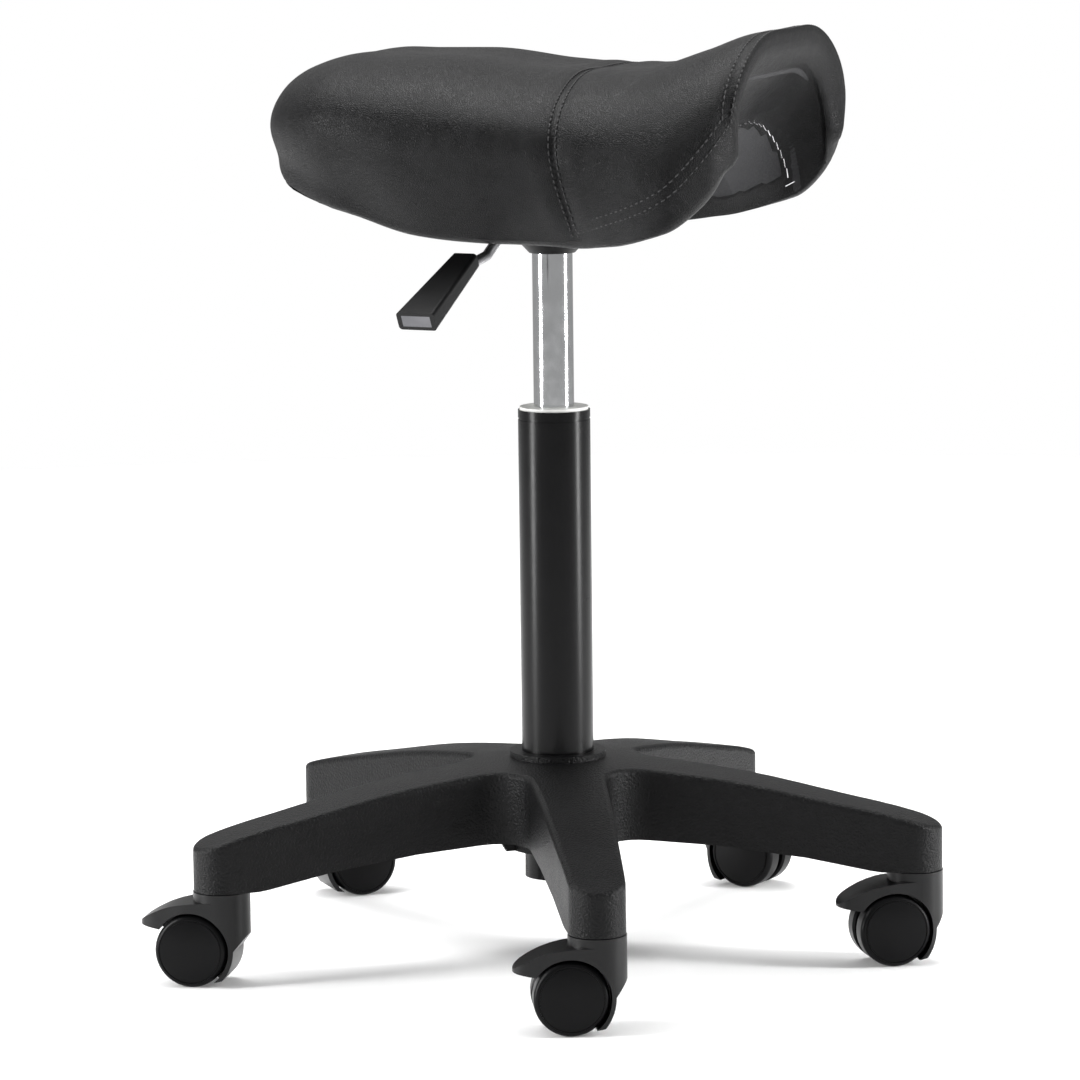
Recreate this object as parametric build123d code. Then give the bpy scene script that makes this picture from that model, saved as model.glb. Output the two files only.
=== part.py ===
from build123d import *
import math
import os

# A saddle stool for a treatment room: a padded saddle on a gas lift, over a
# five-legged nylon base with twin-wheel casters.
# Frame: millimetres, +Z up, origin on the floor under the column. The rider
# faces +X, where the saddle rises, and the height lever is at -Y.

# ---- driving dimensions -----------------------------------------------------
# casters
caster_count = 5
stem_circle_r = 251.0
first_leg_deg = -65.8
wheel_r = 25.0
wheel_outer_y = 20.0
web_half = 3.0
wheel_side_gap = 0.6
wheel_arch_gap = 1.5
trail = 18.5
stem_r = 5.5
stem_length = 38.0
axle_r = 4.0
neck_r = 19.5
neck_height = 6.0
nose_reach = 56.0
trail_deg = (203.0, 211.5, 348.0, 40.0, 188.5)

# base
boss_r = 19.0
boss_bottom_z = 65.0
leg_root_width = 58.0
leg_fillet_r = 26.0
rim_fillet_r = 4.0
hub_r = 40.0
hub_top_z = 138.0
hub_ring_r = 33.5
hub_ring_height = 3.0
hub_bottom_z = 72.0
base_wall = 4.0
rib = 3.0
sleeve_wall = 1.5

# column
column_r = 25.0
column_wall = 2.0
column_top_z = 380.0
column_bottom_z = 52.0
column_taper = 1.2
bush_length = 80.0
bush_lip = 2.0
floor_plate = 3.0

# gas lift
cylinder_r = 14.0
cylinder_wall = 1.6
cylinder_bottom_z = 222.0
cylinder_top_z = 524.0
cone_top_r = 13.2
pressure_r = 10.5
pressure_wall = 1.0
guide_length = 24.0
valve_block_length = 34.0
valve_pin_r = 2.5
valve_pin_height = 4.0
rod_r = 5.0
piston_bottom_z = 352.0
piston_height = 18.0
race_r = 15.0
race_height = 3.0
ball_r = 2.0
ball_circle_r = 10.5
bumper_r = 13.0
bumper_height = 26.0

# saddle bracket
socket_r = 18.0
socket_bottom_z = 496.5
collar_r = 23.5
collar_bottom_z = 488.5
pan_length = 92.0
pan_width = 84.0
pan_bottom_z = 504.0
plate_length = 156.0
plate_width = 106.0
plate_top_z = 541.0
sheet = 3.0
bolt_r = 3.0
bolt_x = 64.0
bolt_y = 38.0

# saddle layers
board_t = 12.0
lining_t = 1.5

# lever
lever_deg = -7.8
lever_r = 3.5
pivot_out = 49.0
pivot_z = 523.0
pivot_r = 2.0
ear_t = 2.5
paddle_start = (129.0, 494.0)
paddle_end = (201.0, 460.0)
paddle_root_w = 18.0
paddle_tip_w = 28.0
paddle_root_t = 11.0
paddle_tip_t = 13.0

# clearances
run = 0.05
gap = 0.5
press_gap = 0.4

os.makedirs("parts", exist_ok=True)


# ---- helpers ----------------------------------------------------------------
def save(shape, node):
    """Write one piece under its own name."""
    shape.label = node
    export_step(shape, f"parts/{node}.step")
    return shape


def cyl(r, z0, z1, x=0.0, y=0.0):
    """Upright cylinder between two heights."""
    return Pos(x, y, (z0 + z1) / 2) * Cylinder(r, z1 - z0)


def ring(r_out, r_in, z0, z1, x=0.0, y=0.0):
    """Upright tube between two heights."""
    return cyl(r_out, z0, z1, x, y) - cyl(r_in, z0 - 1, z1 + 1, x, y)


def cone(r0, r1, z0, z1):
    """Upright frustum: r0 at z0, r1 at z1."""
    return Pos(0, 0, (z0 + z1) / 2) * Cone(r0, r1, z1 - z0)


def block(x0, x1, y0, y1, z0, z1):
    """Box between two corners."""
    return Pos((x0 + x1) / 2, (y0 + y1) / 2, (z0 + z1) / 2) * Box(x1 - x0, y1 - y0, z1 - z0)


def turned(points):
    """Solid of revolution about Z from (radius, height) points."""
    return revolve(Plane.XZ * make_face(Polyline(*points, close=True)), Axis.Z)


def flat_turned(points):
    """Solid of revolution about Y from (radius, depth) points."""
    return revolve(Plane.XY * make_face(Polyline(*points, close=True)), Axis.Y)


# ---- base -------------------------------------------------------------------
def leg_angles():
    return [first_leg_deg + 360.0 / caster_count * k for k in range(caster_count)]


def on_circle(r, deg):
    return (r * math.cos(math.radians(deg)), r * math.sin(math.radians(deg)))


def leg_plan(root_width, tip_r, centre_r):
    """Plan of one leg along +X: straight taper into a round tip."""
    lean = math.asin((root_width / 2 - tip_r) / stem_circle_r)
    side_x = stem_circle_r + tip_r * math.sin(lean)
    side_y = tip_r * math.cos(lean)
    body = make_face(Polyline((0, -root_width / 2), (side_x, -side_y), (side_x, side_y),
                              (0, root_width / 2), close=True))
    return body + Pos(stem_circle_r, 0) * Circle(tip_r) + Circle(centre_r)


def star_prism(root_width, tip_r, centre_r, fillet_r):
    """Upright prism over the whole star, with the corners between the legs rounded."""
    low, high = boss_bottom_z - 10, hub_top_z + 20
    leg = extrude(Pos(0, 0, low) * leg_plan(root_width, tip_r, centre_r), high - low)
    prism = Part() + [Rot(0, 0, a) * leg for a in leg_angles()]
    upright = prism.edges().filter_by(Axis.Z)
    inner = [e for e in upright if math.hypot(e.center().X, e.center().Y) < stem_circle_r * 0.6]
    return fillet(inner, fillet_r)


def star_envelope(drop, inset):
    """Turned solid between the arched top and the underside of the legs."""
    far = stem_circle_r + boss_r + 30
    edge_z = boss_bottom_z + 30
    top = Spline((0, hub_top_z - drop), (62, hub_top_z - 4 - drop), (142, hub_top_z - 14 - drop),
                 (200, hub_top_z - 25.5 - drop), (stem_circle_r + boss_r, edge_z - drop),
                 tangents=((1, 0), (1, -0.42)))
    end = top @ 1
    under = Polyline((end.X, end.Y), (far, end.Y - (far - end.X) * 0.42), (far, boss_bottom_z - inset),
                     (stem_circle_r - boss_r, boss_bottom_z - inset),
                     (stem_circle_r - boss_r - 8, boss_bottom_z + 1 - inset),
                     (180, boss_bottom_z + 9 - inset), (120, boss_bottom_z + 16 - inset),
                     (hub_r + 8, boss_bottom_z + 20 - inset), (hub_r, hub_bottom_z - inset),
                     (0, hub_bottom_z - inset), (0, hub_top_z - drop))
    return revolve(Plane.XZ * make_face(Curve() + [top, under]), Axis.Z)


def column_cone():
    """Tapered part of the column that seats in the hub."""
    return cone(column_r - column_taper, column_r, hub_bottom_z - 4, hub_top_z + hub_ring_height)


def base_star():
    body = star_prism(leg_root_width, boss_r, hub_r, leg_fillet_r) & star_envelope(0, 0)
    tops = [f for f in body.faces() if f.normal_at(f.center()).Z > 0.3]
    top_edges = [e for f in tops for e in f.edges()]
    rims = [e for e in top_edges if sum(e.is_same(other) for other in top_edges) == 1]
    body = fillet(rims, rim_fillet_r)
    # hollow underside, with the bosses, the hub wall and the ribs left standing
    hollow = star_prism(leg_root_width - 2 * base_wall, boss_r - base_wall, hub_r - base_wall,
                        leg_fillet_r + base_wall)
    hollow &= star_envelope(base_wall + 1, 20)
    low, high = boss_bottom_z - 30, hub_top_z
    kept = [cyl(column_r + 9, low, high)]
    for angle in leg_angles():
        x, y = on_circle(stem_circle_r, angle)
        kept.append(cyl(boss_r - base_wall, low, high, x, y))
        kept.append(Rot(0, 0, angle) * block(0, stem_circle_r, -rib / 2, rib / 2, low, high))
        for reach in (92, 138, 184):
            kept.append(Rot(0, 0, angle) * block(reach - rib / 2, reach + rib / 2, -leg_root_width / 2,
                                                 leg_root_width / 2, low, high))
    body -= hollow - kept
    body += ring(hub_ring_r, column_r - 2, hub_top_z - 8, hub_top_z + hub_ring_height)
    body -= column_cone()
    for angle in leg_angles():
        x, y = on_circle(stem_circle_r, angle)
        body -= cyl(stem_r + run + sleeve_wall, boss_bottom_z - 1, boss_bottom_z + stem_length - 8, x, y)
    return body


save(base_star(), "base_star")

sleeves = [ring(stem_r + run + sleeve_wall, stem_r + run, boss_bottom_z,
                boss_bottom_z + stem_length - 8, *on_circle(stem_circle_r, a)) for a in leg_angles()]
save(Compound(children=sleeves), "caster_sleeves")

# ---- column -----------------------------------------------------------------
bush_top_z = column_top_z + bush_lip
inner_r = column_r - column_wall

column = cone(column_r - column_taper, column_r, hub_bottom_z - 4, hub_top_z + hub_ring_height)
column += cyl(column_r, hub_top_z + hub_ring_height, column_top_z)
column += cyl(column_r - column_taper, column_bottom_z, hub_bottom_z - 4)
column -= cyl(inner_r, hub_top_z + hub_ring_height, column_top_z + 1)
column -= cyl(inner_r - column_taper, column_bottom_z + floor_plate, hub_top_z + hub_ring_height)
column -= cyl(rod_r + run, column_bottom_z - 1, column_bottom_z + floor_plate + 1)
# rolled groove under the mouth of the tube
column -= ring(column_r + 1, column_r - 0.6, column_top_z - 7, column_top_z - 5.5)
save(column, "outer_column")

bush = ring(inner_r, cylinder_r + run, column_top_z - bush_length, column_top_z)
bush += ring(inner_r + 0.8, cylinder_r + run, column_top_z, bush_top_z)
# relief between the two sliding bands of the bush
bush -= ring(cylinder_r + 1.2, cylinder_r - 1, column_top_z - bush_length + 22, column_top_z - 22)
save(bush, "column_bush")

# ---- piston rod, which stands on the floor of the column -----------------------
plate_top = column_bottom_z + floor_plate
lower_race_top = plate_top + race_height
ball_z = lower_race_top + ball_r - 0.6
upper_race_bottom = ball_z + ball_r - 0.6
upper_race_top = upper_race_bottom + race_height
piston_top_z = piston_bottom_z + piston_height
clip_z = column_bottom_z - 3.5
groove_depth = 1.0
rod_hole_r = rod_r + run

rod = cyl(rod_r, clip_z - 4, piston_top_z + 4)
rod -= ring(rod_r + 1, rod_r - groove_depth, clip_z, clip_z + 1.5)
save(rod, "piston_rod")

washer_r = 11.0
save(ring(washer_r, rod_hole_r, clip_z + 1.5 + gap / 2, column_bottom_z - gap), "rod_washer")

clip = ring(rod_r + 3, rod_r - groove_depth, clip_z, clip_z + 1.5)
clip -= block(0, rod_r + 6, -2.5, 2.5, clip_z - 1, clip_z + 3)
save(clip, "rod_clip")

race_track = Pos(0, 0, ball_z) * Torus(ball_circle_r, ball_r + run)
save(ring(race_r, rod_hole_r, plate_top, lower_race_top) - race_track, "thrust_race_lower")
save(ring(race_r, rod_r, upper_race_bottom, upper_race_top) - race_track, "thrust_race_upper")
ball_count = 12
balls = [Pos(*on_circle(ball_circle_r, 360 / ball_count * k), ball_z) * Sphere(ball_r)
         for k in range(ball_count)]
save(Compound(children=balls), "thrust_balls")

bumper = ring(bumper_r, rod_r, upper_race_top, upper_race_top + bumper_height)
bumper -= ring(bumper_r + 1, bumper_r - 2.5, upper_race_top + 8, upper_race_top + 12)
save(bumper, "bump_rubber")

bore_r = pressure_r - pressure_wall
piston = ring(bore_r - 1.0, rod_r, piston_bottom_z, piston_top_z)
piston -= ring(bore_r, bore_r - 2.5, piston_bottom_z + 7, piston_top_z - 7)
save(piston, "piston_head")
save(ring(bore_r - run, bore_r - 2.5, piston_bottom_z + 7, piston_top_z - 7), "piston_seal")
save(ring(rod_r + 3, rod_r, piston_top_z, piston_top_z + 3), "piston_nut")

# ---- gas cylinder, which rises with the saddle ----------------------------------
tube_bore_r = cylinder_r - cylinder_wall
cone_bottom_z = socket_bottom_z
valve_bottom_z = cylinder_top_z - valve_block_length
guide_top_z = cylinder_bottom_z + guide_length

tube = cyl(cylinder_r, cylinder_bottom_z, cone_bottom_z)
tube += cone(cylinder_r, cone_top_r, cone_bottom_z, cylinder_top_z)
tube -= cyl(tube_bore_r, cylinder_bottom_z - 1, valve_bottom_z)
tube -= cyl(pressure_r, valve_bottom_z - 1, cylinder_top_z - 2)
tube -= cyl(valve_pin_r + run, cylinder_top_z - 3, cylinder_top_z + 1)
save(tube, "gas_cylinder")

save(ring(pressure_r, bore_r, guide_top_z, valve_bottom_z), "pressure_tube")

guide = ring(tube_bore_r, rod_hole_r, cylinder_bottom_z + 2, guide_top_z)
guide -= ring(rod_r + 3, rod_r - 1, guide_top_z - 8, guide_top_z - 3)
save(guide, "rod_guide")
save(ring(rod_r + 3, rod_hole_r, guide_top_z - 8, guide_top_z - 3), "rod_seal")
save(ring(tube_bore_r, rod_r + 1.5, cylinder_bottom_z, cylinder_bottom_z + 2), "end_cap")

valve = ring(pressure_r, valve_pin_r + run, valve_bottom_z, cylinder_top_z - 2)
save(valve, "valve_block")

pin = cyl(valve_pin_r, valve_bottom_z + 4, cylinder_top_z + valve_pin_height)
save(fillet(pin.edges().sort_by(Axis.Z)[-1], 1.0), "valve_pin")

# ---- bracket under the saddle ----------------------------------------------------
socket = cyl(socket_r, socket_bottom_z, cylinder_top_z - 1)
socket -= cone(cylinder_r, cone_top_r, cone_bottom_z, cylinder_top_z)
save(socket, "cylinder_socket")

collar = turned([(cylinder_r + press_gap, collar_bottom_z), (cylinder_r + 2, collar_bottom_z),
                 (collar_r, collar_bottom_z + 8), (collar_r, pan_bottom_z), (socket_r, pan_bottom_z),
                 (socket_r, socket_bottom_z), (cylinder_r + press_gap, socket_bottom_z)])
save(collar, "socket_collar")

flange_z = plate_top_z - sheet
pan = block(-pan_length / 2, pan_length / 2, -pan_width / 2, pan_width / 2, pan_bottom_z, flange_z)
pan = fillet(pan.edges().filter_by(Axis.Z), 12)
well = block(-pan_length / 2 + sheet, pan_length / 2 - sheet, -pan_width / 2 + sheet,
             pan_width / 2 - sheet, pan_bottom_z + sheet, plate_top_z + 1)
well = fillet(well.edges().filter_by(Axis.Z), 12 - sheet)
flange = block(-plate_length / 2, plate_length / 2, -plate_width / 2, plate_width / 2,
               flange_z, plate_top_z)
flange = fillet(flange.edges().filter_by(Axis.Z), 14)
bracket = flange + pan - well - cyl(socket_r, pan_bottom_z - 1, pan_bottom_z + sheet + 1)
bolt_points = [(sx * bolt_x, sy * bolt_y) for sx in (-1, 1) for sy in (-1, 1)]
for x, y in bolt_points:
    bracket -= cyl(bolt_r + gap, flange_z - 1, plate_top_z + 1, x, y)
# slot for the lever in the wall, and the two ears that carry its pivot
slot_half = 7.0
ear_inner = lever_r + 1.5
turn = Rot(0, 0, lever_deg)
bracket -= turn * block(-slot_half, slot_half, -pan_width / 2 - 8, -pan_width / 2 + 9,
                        pivot_z - 9, flange_z - 1)
for side in (-1, 1):
    near, far = sorted((side * ear_inner, side * (ear_inner + ear_t)))
    ear = block(near, far, -pivot_out - 6, -pan_width / 2 + 6, pivot_z - 8, flange_z)
    ear -= turn.inverse() * block(-pan_length / 2 + sheet, pan_length / 2 - sheet, -pan_width / 2 + sheet,
                                  0, pan_bottom_z, plate_top_z)
    ear -= Pos(0, -pivot_out, pivot_z) * Rot(0, 90, 0) * Cylinder(pivot_r + run, 60)
    bracket += turn * ear
save(bracket, "saddle_bracket")

# ---- saddle ------------------------------------------------------------------------
# Each station across the saddle: its place along X, the height of the crown, the
# widest point, the lower edge, and the half width and height of the flat middle
# of the underside. The sections between them follow smooth curves.
stations = (
    (-183.0, 590.0, (58.0, 573.0), (42.0, 560.0), (22.0, 562.0)),
    (-162.0, 613.0, (104.0, 586.0), (86.0, 553.0), (38.0, 558.0)),
    (-115.0, 626.0, (137.0, 590.0), (114.0, 535.0), (60.0, 554.0)),
    (-60.0, 626.0, (149.0, 586.0), (116.0, 514.0), (60.0, 553.0)),
    (0.0, 619.0, (151.0, 581.0), (108.0, 506.0), (60.0, 553.0)),
    (50.0, 616.0, (151.0, 573.0), (116.0, 506.0), (60.0, 553.0)),
    (85.0, 618.0, (157.0, 567.0), (138.0, 513.0), (60.0, 553.0)),
    (130.0, 631.0, (166.0, 558.0), (160.0, 521.0), (60.0, 602.0)),
    (158.0, 641.0, (153.0, 575.0), (148.0, 544.0), (54.0, 626.0)),
    (172.0, 643.0, (136.0, 587.0), (131.0, 569.0), (48.0, 633.0)),
)


places = [s[0] for s in stations]


def slope_at(values, i):
    """Slope of a quantity at a station: level at a peak, so that nothing overshoots."""
    steps = [(values[k + 1] - values[k]) / (places[k + 1] - places[k]) for k in range(len(places) - 1)]
    if i in (0, len(steps)):
        return steps[min(i, len(steps) - 1)]
    before, after = steps[i - 1], steps[i]
    return 0.0 if before * after <= 0 else 2 * before * after / (before + after)


def blend(values, x):
    """Smooth value at x of a quantity given at every station."""
    k = max(i for i in range(len(places) - 1) if places[i] <= x)
    span = places[k + 1] - places[k]
    t = (x - places[k]) / span
    rise = (values[k + 1] - values[k]) * (3 - 2 * t) * t * t
    lead_in = slope_at(values, k) * t * (1 - t) ** 2
    lead_out = slope_at(values, k + 1) * t * t * (1 - t)
    return values[k] + rise + span * (lead_in - lead_out)


def station(x):
    """All the values of one section at x, in the order of the stations."""
    crown = blend([s[1] for s in stations], x)
    pairs = [tuple(blend([s[i][j] for s in stations], x) for j in (0, 1)) for i in (2, 3, 4)]
    return (x, crown, *pairs)


def spaced(x0, x1, count):
    """Evenly spaced stations from x0 to x1."""
    return [station(x0 + (x1 - x0) * k / count) for k in range(count + 1)]


def upper_curve(crown, side, edge):
    """Padded outside of the saddle, from one lower edge over the top to the other."""
    shoulder = (side[0] * 0.62, side[1] + (crown - side[1]) * 0.86)
    half = [edge, side, shoulder]
    return Spline(*[(-y, z) for y, z in half], (0, crown), *reversed(half))


def under_curve(edge, flat, down):
    """Underside at a depth below the foam: a flat middle between two flap arcs."""
    bend = 2 * math.atan2(flat[1] - edge[1], edge[0] - flat[0])
    lip = (edge[0] - down * math.sin(bend), edge[1] - down * math.cos(bend))
    half, height = flat[0], flat[1] - down
    right = TangentArc((half, height), lip, tangent=(1, 0))
    left = TangentArc((-half, height), (-lip[0], lip[1]), tangent=(-1, 0))
    return [left, Line((-half, height), (half, height)), right], lip


def across(x):
    """Plane of one station: its first axis is Y and its second axis is Z."""
    return Plane(origin=(x, 0, 0), x_dir=(0, 1, 0), z_dir=(1, 0, 0))


def cushion_section(x, crown, side, edge, flat):
    under, _ = under_curve(edge, flat, 0)
    return across(x) * make_face(Curve() + [upper_curve(crown, side, edge)] + under)


def layer_section(x, edge, flat, down, thickness):
    upper, upper_lip = under_curve(edge, flat, down)
    lower, lower_lip = under_curve(edge, flat, down + thickness)
    ends = [Line(upper_lip, lower_lip),
            Line((-upper_lip[0], upper_lip[1]), (-lower_lip[0], lower_lip[1]))]
    return across(x) * make_face(Curve() + upper + lower + ends)


rear_x, board_rear_x, board_front_x, front_x = (stations[k][0] for k in (0, 1, -2, -1))
inner_stations = spaced(board_rear_x, board_front_x, 20)
all_stations = [station(rear_x), station((rear_x + board_rear_x) / 2)] + inner_stations
all_stations += [station((board_front_x + front_x) / 2), station(front_x)]
cushion = loft([cushion_section(*s) for s in all_stations], ruled=True)
save(cushion, "seat_cushion")

board = loft([layer_section(s[0], s[3], s[4], 0, board_t) for s in inner_stations], ruled=True)
lining = loft([layer_section(s[0], s[3], s[4], board_t, lining_t) for s in inner_stations], ruled=True)

# fasteners: bolts up through the bracket into tee nuts in the board
board_bottom_z = plate_top_z
board_top_z = board_bottom_z + board_t
nut_r = bolt_r + 1.5
washer_t = 1.6
bolts, nuts, washers = [], [], []
lining -= block(-plate_length / 2 - gap, plate_length / 2 + gap, -plate_width / 2 - gap,
                plate_width / 2 + gap, plate_top_z - lining_t - 5, plate_top_z + 1)
for x, y in bolt_points:
    board -= cyl(nut_r, board_bottom_z - 1, board_top_z + 1, x, y)
    nuts.append(ring(nut_r, bolt_r, plate_top_z, board_top_z, x, y))
    washers.append(ring(bolt_r + 4, bolt_r + gap, flange_z - washer_t, flange_z, x, y))
    head = Pos(x, y, flange_z - washer_t - 2) * extrude(RegularPolygon(5.5, 6), 4, both=True)
    head &= block(x - 9, x + 9, y - 9, y + 9, flange_z - washer_t - 4, flange_z - washer_t)
    bolts.append(head + cyl(bolt_r, flange_z - washer_t - 1, board_top_z - 1, x, y))
save(board, "seat_board")
save(lining, "seat_lining")
save(Compound(children=nuts), "tee_nuts")
save(Compound(children=washers), "bracket_washers")
save(Compound(children=bolts), "bracket_bolts")

# ---- lever --------------------------------------------------------------------------
# The lever is drawn outwards along -Y and then turned about the column.
lever_inner = (5.0, cylinder_top_z + valve_pin_height + press_gap + lever_r)
bend = (99.0, 494.5)
route = [(0, -lever_inner[0] + 10, lever_inner[1]), (0, -8, lever_inner[1]),
         (0, -pivot_out, pivot_z), (0, -bend[0], bend[1]),
         (0, -paddle_start[0] - 12, paddle_start[1] - 6)]
path = FilletPolyline(*route, radius=10)
start = Plane(origin=path @ 0, z_dir=path % 0)
lever_rod = sweep(start * Circle(lever_r), path)
lever_rod -= Pos(0, -pivot_out, pivot_z) * Rot(0, 90, 0) * Cylinder(pivot_r, 40)
save(turn * lever_rod, "lever_rod")
pivot_length = 2 * (ear_inner + ear_t) + 3
lever_pin = Pos(0, -pivot_out, pivot_z) * Rot(0, 90, 0) * Cylinder(pivot_r, pivot_length)
save(turn * lever_pin, "lever_pin")

run_out = paddle_end[0] - paddle_start[0]
fall = paddle_start[1] - paddle_end[1]
paddle_length = math.hypot(run_out, fall)
slope = Plane(origin=(0, -paddle_start[0], paddle_start[1]), x_dir=(1, 0, 0), z_dir=(0, -run_out, -fall))
root = slope * RectangleRounded(paddle_root_w, paddle_root_t, 2.5)
tip = slope.offset(paddle_length) * RectangleRounded(paddle_tip_w, paddle_tip_t, 2.5)
insert_w, insert_t, insert_depth = 21.0, 8.0, 2.0
paddle = loft([root, tip])
recess = slope.offset(paddle_length - insert_depth) * Rectangle(insert_w, insert_t)
insert = extrude(recess, insert_depth, dir=slope.z_dir)
paddle -= insert
paddle -= lever_rod
save(turn * paddle, "lever_paddle")
save(turn * insert, "paddle_insert")


# ---- casters --------------------------------------------------------------------------
def hood_plan():
    """Plan of the hood: a round back about the stem and a tapering nose."""
    flank = Spline((trail, neck_r - 1), (trail + 18, neck_r - 4.5), (nose_reach, 0),
                   tangents=((1, -0.05), (0, -1)))
    mirror_flank = mirror(flank, Plane.XZ)
    back = ThreePointArc((0, -neck_r), (-neck_r, 0), (0, neck_r))
    sides = [Line((0, neck_r), (trail, neck_r - 1)), Line((0, -neck_r), (trail, -neck_r + 1))]
    return make_face(Curve() + [flank, mirror_flank, back] + sides)


def hood_profile():
    """Side view of the hood: a crown that falls to the nose, and a round heel."""
    top_z = boss_bottom_z - gap - neck_height
    crown = Spline((-neck_r - 1, top_z), (10, top_z), (34, top_z - 3.5), (48, top_z - 9.5),
                   (nose_reach + 1, top_z - 17), tangents=((1, 0), (0.5, -1)))
    tip = crown @ 1
    arch_r = wheel_r + wheel_arch_gap
    brow = (trail + arch_r * math.cos(math.radians(32)), wheel_r + arch_r * math.sin(math.radians(32)))
    heel_r = arch_r + 3
    heel = (trail + heel_r * math.cos(math.radians(222)), wheel_r + heel_r * math.sin(math.radians(222)))
    low = (trail + arch_r * math.cos(math.radians(232)), wheel_r + arch_r * math.sin(math.radians(232)))
    outline = [Line((tip.X, tip.Y), brow), Line(brow, (trail, wheel_r - 8)),
               Line((trail, wheel_r - 8), low), Line(low, heel),
               ThreePointArc(heel, (trail + heel_r * math.cos(math.radians(200)),
                                    wheel_r + heel_r * math.sin(math.radians(200))),
                             (trail - heel_r, wheel_r)),
               Line((trail - heel_r, wheel_r), (-neck_r - 1, wheel_r + 12)),
               Line((-neck_r - 1, wheel_r + 12), (-neck_r - 1, top_z))]
    return make_face(Curve() + [crown] + outline)


def hood():
    """Caster body: hood, web between the wheels and neck, with its holes."""
    top_z = boss_bottom_z - gap - neck_height
    side_view = Plane.XZ * hood_profile()
    body = extrude(side_view, neck_r + 1, both=True) & extrude(hood_plan(), boss_bottom_z)
    arch_r = wheel_r + wheel_arch_gap
    pocket_depth = neck_r + 1
    for side in (-1, 1):
        middle = side * (web_half + pocket_depth / 2)
        body -= Pos(trail, middle, wheel_r) * Rot(90, 0, 0) * Cylinder(arch_r, pocket_depth)
    body += Pos(trail, 0, wheel_r) * Rot(90, 0, 0) * Cylinder(axle_r + 4, 2 * web_half)
    body += cyl(neck_r, top_z - 1, boss_bottom_z - gap)
    body -= cyl(stem_r, boss_bottom_z - gap - 12, boss_bottom_z)
    body -= Pos(trail, 0, wheel_r) * Rot(90, 0, 0) * Cylinder(axle_r, 2 * web_half + 1)
    return body


def stem():
    """Steel stem with its grip ring sprung in a groove."""
    low = boss_bottom_z - gap - 12
    groove_z = boss_bottom_z + stem_length - 14
    body = cyl(stem_r, low, boss_bottom_z + stem_length - 10)
    body = chamfer(body.edges().sort_by(Axis.Z)[-1], 1.0)
    grip = ring(stem_r, stem_r - 1, groove_z, groove_z + 1.5)
    return Compound(children=[body - grip, grip])


def wheel(side):
    """One wheel: flat inside, round tread, domed outer face with a ring groove."""
    inside = web_half + wheel_side_gap
    bore = axle_r + run
    bore_end = wheel_outer_y - 2.6
    outer = wheel_outer_y
    dome = ThreePointArc((0, outer), (wheel_r * 0.45, outer - 0.45), (wheel_r * 0.84, outer - 1.6))
    rim = ThreePointArc((wheel_r * 0.88, outer - 1.6), (wheel_r * 0.965, outer - 3.0), (wheel_r, outer - 5.5))
    outline = Polyline((wheel_r, outer - 5.5), (wheel_r, inside + 1.5), (wheel_r - 1.5, inside),
                       (bore, inside), (bore, bore_end), (0, bore_end), (0, outer))
    groove = Polyline((wheel_r * 0.84, outer - 1.6), (wheel_r * 0.84, outer - 2.4),
                      (wheel_r * 0.88, outer - 2.4), (wheel_r * 0.88, outer - 1.6))
    disc = revolve(make_face(Curve() + [dome, rim, outline, groove]), Axis.Y)
    return Pos(trail, 0, wheel_r) * (disc if side > 0 else mirror(disc, Plane.XZ))


axle_reach = wheel_outer_y - 3.0
for k, leg_deg in enumerate(leg_angles()):
    x, y = on_circle(stem_circle_r, leg_deg)
    place = Pos(x, y, 0) * Rot(0, 0, trail_deg[k])
    name = f"caster_{k + 1}"
    save(place * hood(), f"{name}_hood")
    save(place * stem(), f"{name}_stem")
    save(place * Pos(trail, 0, wheel_r) * Rot(90, 0, 0) * Cylinder(axle_r, 2 * axle_reach), f"{name}_axle")
    save(place * wheel(1), f"{name}_wheel_a")
    save(place * wheel(-1), f"{name}_wheel_b")
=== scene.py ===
"""Finishes for a saddle stool: cover, stitching, materials, lights and camera."""

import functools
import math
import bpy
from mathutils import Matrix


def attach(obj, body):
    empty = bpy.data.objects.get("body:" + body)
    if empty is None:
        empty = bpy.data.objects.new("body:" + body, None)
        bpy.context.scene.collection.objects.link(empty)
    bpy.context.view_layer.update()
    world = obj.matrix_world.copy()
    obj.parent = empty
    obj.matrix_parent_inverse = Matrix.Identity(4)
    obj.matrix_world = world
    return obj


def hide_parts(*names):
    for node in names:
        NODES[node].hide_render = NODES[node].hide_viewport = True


bl_info = {
    "name": "Saddle stool",
    "version": (1, 0, 0),
    "blender": (4, 5, 0),
    "location": "View3D > Sidebar > Saddle stool",
    "description": "Dresses the stool's frame: leather saddle, stitching and finishes",
    "category": "Object",
}

import bmesh
import bpy
import numpy as np
from bpy.props import FloatProperty, FloatVectorProperty, PointerProperty
from mathutils import Matrix, Vector

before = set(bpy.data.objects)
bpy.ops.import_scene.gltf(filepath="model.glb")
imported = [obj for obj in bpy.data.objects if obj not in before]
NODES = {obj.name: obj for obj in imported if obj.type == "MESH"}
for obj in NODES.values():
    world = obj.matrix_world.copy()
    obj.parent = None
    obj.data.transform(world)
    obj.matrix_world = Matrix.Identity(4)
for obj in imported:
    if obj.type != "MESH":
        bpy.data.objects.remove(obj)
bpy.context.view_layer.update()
MM = 0.001


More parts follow.
